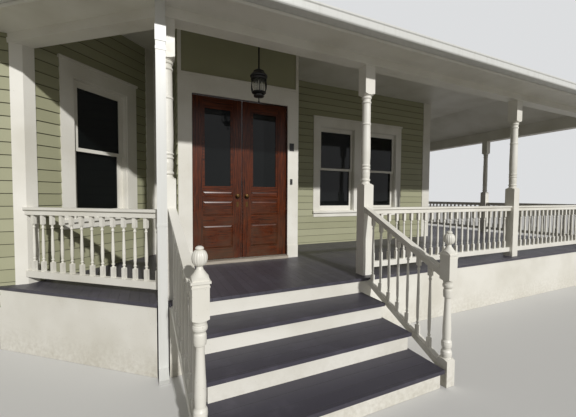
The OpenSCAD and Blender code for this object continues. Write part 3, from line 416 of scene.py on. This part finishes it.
# grain lines are 3 mm apart on the wood, drawn 8 mm apart so that they show
up = add(tree, "Mapping", {"Vector": place, "Scale": (120.0, 120.0, 5.0)})
across = add(tree, "Mapping", {"Vector": place, "Scale": (5.0, 120.0, 120.0)})
grain_up = add(tree, "TexNoise", {"Vector": up.outputs[0], "Scale": 1.0, "Detail": 5.0,
                                  "Distortion": 0.6})
grain_across = add(tree, "TexNoise", {"Vector": across.outputs[0], "Scale": 1.0, "Detail": 5.0,
                                      "Distortion": 0.6})
grain = add(tree, "Mix", {0: stile.outputs[0], 2: grain_across.outputs["Fac"],
                          3: grain_up.outputs["Fac"]})
grain_in = add(tree, "MapRange", {"Value": grain.outputs[0], "From Min": 0.32, "From Max": 0.70})
wood = two_tone(tree, grain_in.outputs[0], colour("220C03"), colour("652C0D"))
low = add(tree, "MapRange", {"Value": parts.outputs["Z"], "From Min": 0.70, "From Max": 1.65,
                             "To Min": 0.75, "To Max": 0.0})
patch = add(tree, "TexNoise", {"Vector": place, "Scale": 5.0, "Detail": 5.0})
faded = add(tree, "MapRange", {"Value": patch.outputs["Fac"], "From Min": 0.35, "From Max": 0.65})
weather = add(tree, "Math", {0: low.outputs[0], 1: faded.outputs[0]}, operation="MULTIPLY")
aged = two_tone(tree, weather.outputs[0], wood, colour("45311F"))
tree.links.new(aged, surface.inputs["Base Color"])
matt = add(tree, "MapRange", {"Value": weather.outputs[0], "To Min": 0.24, "To Max": 0.55})
tree.links.new(matt.outputs[0], surface.inputs["Roughness"])
surface.inputs["Specular IOR Level"].default_value = 0.28
emboss(tree, surface, grain.outputs[0], strength=0.25, distance=0.001)
for name in ["left_door", "right_door", "door_frame", "entry_floor"]:
    dress(nodes[name], varnish)


# Raised panels of the doors: the margin round each field is planed to a low bevel,
# 30 mm wide at the sides and 20 mm above and below, which glints along its top edge.
def bevelled_margins(name, body, hinge_x, side):
    """Mitred frames, four rings each: the margin rises from 1 mm over the recess's floor at
    the outer edge to the height of the field at the inner edge. Both faces of the leaf."""
    points, faces = [], []
    near, far, leaf_y, leaf_foot = 128, 525, 1248, 48
    # each panel's foot over the leaf's foot and its height, then the two faces of the leaf
    for z0, high in ((150, 300), (585, 190), (830, 76)):
        for floor_y, way in ((9.0, -1), (36.0, 1)):
            for inset, rise in ((0, 0.05), (0, 1.0), (1, 5.9), (1, 0.05)):
                x = np.array([near, far, far, near]) + inset * np.array([30, -30, -30, 30])
                z = np.array([0, 0, high, high]) + z0 + inset * np.array([20, 20, -20, -20])
                points.append(spot(hinge_x + side * x, leaf_y + floor_y + way * rise,
                                   leaf_foot + z))
            first = 4 * (len(points) - 4)
            i, j = np.meshgrid(np.arange(4), np.arange(4), indexing="ij")
            k, m = (i + 1) % 4, (j + 1) % 4
            quads = first + np.stack([4 * i + j, 4 * i + m, 4 * k + m, 4 * k + j], axis=-1)
            quads = quads.reshape(-1, 4)
            faces += (quads if side * way < 0 else quads[:, ::-1]).tolist()
    piece = grid_mesh(name, np.concatenate(points), faces)
    dress(piece, varnish)
    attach(piece, body)


bevelled_margins("left_door_margins", "left_leaf", 352, 1)
bevelled_margins("right_door_margins", "right_leaf", 1664, -1)


# Sill under the doors: a bevelled oak board, its paint walked off, gone silver-grey
# and smooth, with open grain along it.
weathered, tree, surface = finish_of("bare_weathered_oak_sill")
place = add(tree, "TexCoord", {}).outputs["Object"]
# grain lines are 4 mm apart, drawn 9 mm apart
along = add(tree, "Mapping", {"Vector": place, "Scale": (4.0, 110.0, 110.0)})
fibre = add(tree, "TexNoise", {"Vector": along.outputs[0], "Scale": 1.0, "Detail": 4.0})
fibres = add(tree, "MapRange", {"Value": fibre.outputs["Fac"], "From Min": 0.3, "From Max": 0.7})
silver = two_tone(tree, fibres.outputs[0], colour("7D756A"), colour("B3AA9B"))
tree.links.new(silver, surface.inputs["Base Color"])
surface.inputs["Roughness"].default_value = 0.6
emboss(tree, surface, fibre.outputs["Fac"], strength=0.4, distance=0.001)
dress(nodes["threshold"], weathered)


# Glass: old drawn panes in putty. The rooms behind are not built: their dark is painted shade,
# a near-black colour in a pane that is almost opaque, with a sharp reflection over it.
pane, tree, surface = finish_of("window_glass_over_a_dark_room")
place = add(tree, "TexCoord", {}).outputs["Object"]
ripple = add(tree, "TexNoise", {"Vector": place, "Scale": 3.0, "Detail": 1.0})
# painted shade: near-black colours that stand in for the unlit rooms behind the pane
painted_dark_room = two_tone(tree, ripple.outputs["Fac"], colour("080A0A"), colour("111414"))
tree.links.new(painted_dark_room, surface.inputs["Base Color"])
surface.inputs["Roughness"].default_value = 0.04
surface.inputs["IOR"].default_value = 1.52
surface.inputs["Specular IOR Level"].default_value = 0.24
surface.inputs["Alpha"].default_value = 0.94
# drawn glass bends what it mirrors a little
emboss(tree, surface, ripple.outputs["Fac"], strength=0.15, distance=0.004)
for name in ["window_glass", "left_door_glass", "right_door_glass"]:
    dress(nodes[name], pane)

lantern_pane, tree, surface = finish_of("thin_lantern_glass")
place = add(tree, "TexCoord", {}).outputs["Object"]
film = add(tree, "TexNoise", {"Vector": place, "Scale": 40.0, "Detail": 2.0})
smoke = two_tone(tree, film.outputs["Fac"], colour("A9ADA4"), colour("80847C"))
tree.links.new(smoke, surface.inputs["Base Color"])
surface.inputs["Roughness"].default_value = 0.12
surface.inputs["IOR"].default_value = 1.5
surface.inputs["Alpha"].default_value = 0.22
dress(nodes["lantern_glass"], lantern_pane)


# Door hardware: knobs, key plates and hinges in cast brass, brown in the hollows and
# bright where hands rub it.
brass, tree, surface = finish_of("handled_cast_brass")
place = add(tree, "TexCoord", {}).outputs["Object"]
touch = add(tree, "TexNoise", {"Vector": place, "Scale": 45.0, "Detail": 4.0})
tarnish = two_tone(tree, touch.outputs["Fac"], colour("2C2117"), colour("69502F"))
tree.links.new(tarnish, surface.inputs["Base Color"])
surface.inputs["Metallic"].default_value = 1.0
dull = add(tree, "MapRange", {"Value": touch.outputs["Fac"], "To Min": 0.55, "To Max": 0.3})
tree.links.new(dull.outputs[0], surface.inputs["Roughness"])
for name in ["left_door_hardware", "right_door_hardware", "door_hinges"]:
    dress(nodes[name], brass)


# Lantern, bell push and plate: iron and zinc castings under black enamel, with a fine
# cast grain of about 1 mm, drawn 3 mm.
black, tree, surface = finish_of("black_enamel_on_cast_iron")
place = add(tree, "TexCoord", {}).outputs["Object"]
cast = add(tree, "TexNoise", {"Vector": place, "Scale": 330.0, "Detail": 2.0})
soot = two_tone(tree, cast.outputs["Fac"], colour("0B0B0B"), colour("1B1A19"))
tree.links.new(soot, surface.inputs["Base Color"])
surface.inputs["Roughness"].default_value = 0.42
emboss(tree, surface, cast.outputs["Fac"], strength=0.3, distance=0.0008)
for name in ["lantern", "doorbell"]:
    dress(nodes[name], black)


# Inside and over the lantern: three cream cardboard candle sleeves with flame bulbs stand
# 38 mm from its axis, and a tube sleeves the rod that it hangs from.
def turned_piece(name, profile, places, material):
    """Closed shells, one at each plan place: the radius r(z) of the profile, in mm, is
    carried once round the place's own upright axis."""
    r, z = np.array(profile, float).T
    around = 24
    v = np.linspace(0, 2 * np.pi, around + 1)[:-1]
    points, faces = [], []
    for x, y in places:
        faces += shell(len(r), around, around * len(r) * len(points))
        points.append(spot(x + r[:, None] * np.cos(v), y + r[:, None] * np.sin(v), z[:, None]))
    piece = grid_mesh(name, np.stack(points), faces)
    dress(piece, material)
    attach(piece, "house_and_porch")


lantern_x, lantern_y = 994, 500
candle = [(9.5, 2079), (9.5, 2150), (6, 2151), (6.5, 2157), (10.5, 2169), (9.5, 2181),
          (4, 2197), (0.4, 2206)]
turns = np.radians([11, 131, 251])
turned_piece("lantern_candles", candle,
             np.stack([lantern_x + 38 * np.cos(turns), lantern_y + 38 * np.sin(turns)], axis=1),
             gloss)
turned_piece("lantern_rod_sleeve", [(9, 2352), (9, 2728)], [(lantern_x, lantern_y)], black)


# Gutter and rain pipe: roll-formed aluminium sheet with a baked white coat. Dust
# washes down it in faint streaks.
coated, tree, surface = finish_of("baked_white_coat_on_aluminium")
place = add(tree, "TexCoord", {}).outputs["Object"]
run = add(tree, "Mapping", {"Vector": place, "Scale": (30.0, 30.0, 1.5)})
streak = add(tree, "TexNoise", {"Vector": run.outputs[0], "Scale": 1.0, "Detail": 4.0})
streaks = add(tree, "MapRange", {"Value": streak.outputs["Fac"], "From Min": 0.5,
                                 "From Max": 0.8, "To Max": 0.3})
coat = two_tone(tree, streaks.outputs[0], colour("D6D7D4"), colour("B4B3AA"))
tree.links.new(coat, surface.inputs["Base Color"])
surface.inputs["Roughness"].default_value = 0.38
for name in ["gutter", "downspout"]:
    dress(nodes[name], coated)


# Strip under the gutter: a bed moulding 20 mm high, nailed on the fascia's foot and
# painted with it. From below it shows as a light line between the gutter and the soffit.
# The line of the posts turns 39 degrees at the left post and goes round corner_x.
corner_x, bay_turn = 7880, np.radians(39)
away = np.array([-np.cos(bay_turn), np.sin(bay_turn)])


def edge_line(d, z):
    """Corner points of the roof's edge line at d mm out: wing, hip, corner, far end."""
    hip = np.array([-d * np.tan(bay_turn / 2), -d])
    wing_end = hip + (wing[1] + d) / np.sin(bay_turn) * away
    return spot(*np.array([wing_end, hip, [corner_x + d, -d], [corner_x + d, side_end]]).T, z)


section = [(402, 2414), (414, 2414), (422, 2422), (426, 2434.8), (402, 2434.8)]
rings = np.stack([edge_line(d, z) for d, z in section], axis=1)
strip = grid_mesh("gutter_bed_moulding", rings, shell(len(rings), len(section)))
dress(strip, gloss)
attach(strip, "house_and_porch")


# Foundation: poured concrete with a thin render, grey-buff, with trowel marks and a
# damp band at the ground.
render_coat, tree, surface = finish_of("rendered_poured_concrete")
place = add(tree, "TexCoord", {}).outputs["Object"]
height = add(tree, "SeparateXYZ", {0: place}).outputs["Z"]
blotch = add(tree, "TexNoise", {"Vector": place, "Scale": 4.0, "Detail": 8.0, "Roughness": 0.6})
stone = two_tone(tree, blotch.outputs["Fac"], colour("7B786E"), colour("989487"))
damp = add(tree, "MapRange", {"Value": height, "From Max": 0.16, "To Min": 0.6, "To Max": 0.0})
wet = two_tone(tree, damp.outputs[0], stone, colour("5F5B50"))
tree.links.new(wet, surface.inputs["Base Color"])
surface.inputs["Roughness"].default_value = 0.9
grit = add(tree, "TexNoise", {"Vector": place, "Scale": 90.0, "Detail": 6.0})
emboss(tree, surface, grit.outputs["Fac"], strength=0.6, distance=0.004)
dress(nodes["foundation"], render_coat)


# Roof shingles: mineral-faced asphalt strips nailed in courses of 143 mm, their tabs
# 305 mm wide and set half a tab over from course to course. Folded caps run up the
# two hips. The roof's solid under them shows at its edges only and has their finish.
felt, tree, surface = finish_of("mineral_asphalt_shingle")
tabs = add(tree, "UVMap", {})
brick = add(tree, "TexBrick", {"Vector": tabs.outputs[0], "Color1": colour("54524F"),
                               "Color2": colour("3F3E3E"), "Mortar": colour("1C1B1B"),
                               "Scale": 1.0, "Mortar Size": 0.012, "Mortar Smooth": 0.1,
                               "Bias": 0.0, "Brick Width": 1.0, "Row Height": 1.0},
            offset=0.5, offset_frequency=2)
place = add(tree, "TexCoord", {}).outputs["Object"]
# mineral grit is 1.5 mm, drawn 6 mm
grit = add(tree, "TexNoise", {"Vector": place, "Scale": 170.0, "Detail": 3.0})
speckle = add(tree, "MapRange", {"Value": grit.outputs["Fac"], "From Min": 0.3, "From Max": 0.7,
                                 "To Min": 0.72, "To Max": 1.25})
speckled = add(tree, "VectorMath", {0: brick.outputs["Color"], "Scale": speckle.outputs[0]},
               operation="SCALE")
tree.links.new(speckled.outputs[0], surface.inputs["Base Color"])
surface.inputs["Roughness"].default_value = 0.92
emboss(tree, surface, grit.outputs["Fac"], strength=0.5, distance=0.002)

slope, tab_wide = np.radians(22.6), 305
reach = np.append(np.arange(-472, wall_y, 143 * np.cos(slope)), float(wall_y))
lower, upper = reach[:-1], reach[1:]
half_turn = np.tan(bay_turn / 2)


def roof_height(w):
    """Height of the roof's face over the deck at w mm in from the post line: 5 in 12, up
    from 2535 mm at its edge, 470 mm out."""
    return 2535 + (w + 470) * np.tan(slope)


def angled_end(w):
    """How far a line of the angled roof runs from the hip: to the wing's front for w < 0,
    to the 45 degree wall above, and to the main wall near the top. On that wall y - x is
    2301.9, and 0.6459 is 1 - tan 19.5 degrees, 1.4064 sin 39 + cos 39 degrees."""
    front = (wing[1] - 22 - w) / np.sin(bay_turn)
    slant = (2301.9 - 0.6459 * w) / 1.4064
    back = (wall_y - w) / np.sin(bay_turn)
    return np.where(w < 0, front, np.minimum(slant, back))


def course_ends(w):
    """Plan ends of the three runs' lines at w, each as (start, end), left to right."""
    hip = np.stack([w * half_turn, w], axis=1)
    corner = np.stack([corner_x - w, w], axis=1)
    return [(hip + angled_end(w)[:, None] * away, hip), (hip, corner),
            (corner, np.stack([corner_x - w, np.full_like(w, side_end)], axis=1))]


points, faces, tab = [], [], []
for run_low, run_high in zip(course_ends(lower), course_ends(upper)):
    n = len(lower)
    rings = []
    for plan, w, lift in ((run_low, lower, 0.0), (run_low, lower, 8.0), (run_high, upper, 1.5)):
        for end in plan:
            rings.append(spot(end[:, 0], end[:, 1], roof_height(w) + lift))
    first = sum(len(p) for p in points)
    points.append(np.stack(rings, axis=1).reshape(-1, 3))
    k = first + 6 * np.arange(n)[:, None]
    faces += (k + np.array([0, 1, 3, 2])).tolist() + (k + np.array([2, 3, 5, 4])).tolist()
    length = np.linalg.norm(run_low[1] - run_low[0], axis=1) / tab_wide
    row, zero = np.arange(n), np.zeros(n)
    for up in (.02, .98):
        tab += np.stack([zero, row + .02, length, row + .02, length, row + up, zero, row + up],
                        axis=1).reshape(-1, 2).tolist()
shingles = grid_mesh("roof_shingles", np.concatenate(points), faces)
layer = shingles.data.uv_layers.new(name="tabs")
layer.data.foreach_set("uv", np.array(tab, dtype=np.float32).ravel())
dress(shingles, felt)
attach(shingles, "house_and_porch")
dress(nodes["roof"], felt)

cap_wide = 120
hips, faces = [], []
for at, side_a, side_b in (
        (lambda w: np.stack([w * half_turn, w], axis=1), away, np.array([1.0, 0.0])),
        (lambda w: np.stack([corner_x - w, w], axis=1), np.array([-1.0, 0.0]),
         np.array([0.0, 1.0]))):
    n = len(lower)
    rings = []
    for w, lift in ((lower, 2.0), (lower, 17.0), (upper, 9.0)):
        for across in (cap_wide * side_a, np.zeros(2), cap_wide * side_b):
            plan = at(w) + across
            rings.append(spot(plan[:, 0], plan[:, 1], roof_height(w) + lift))
    first = sum(len(p) for p in hips)
    hips.append(np.stack(rings, axis=1).reshape(-1, 3))
    k = first + 9 * np.arange(n)[:, None]
    for quad in ((0, 1, 4, 3), (1, 2, 5, 4), (3, 4, 7, 6), (4, 5, 8, 7)):
        faces += (k + np.array(quad)).tolist()
hip_caps = grid_mesh("hip_caps", np.concatenate(hips), faces)
layer = hip_caps.data.uv_layers.new(name="tabs")
layer.data.foreach_set("uv", np.tile([.1, .1, .9, .1, .9, .9, .1, .9], len(faces)))
dress(hip_caps, felt)
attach(hip_caps, "house_and_porch")
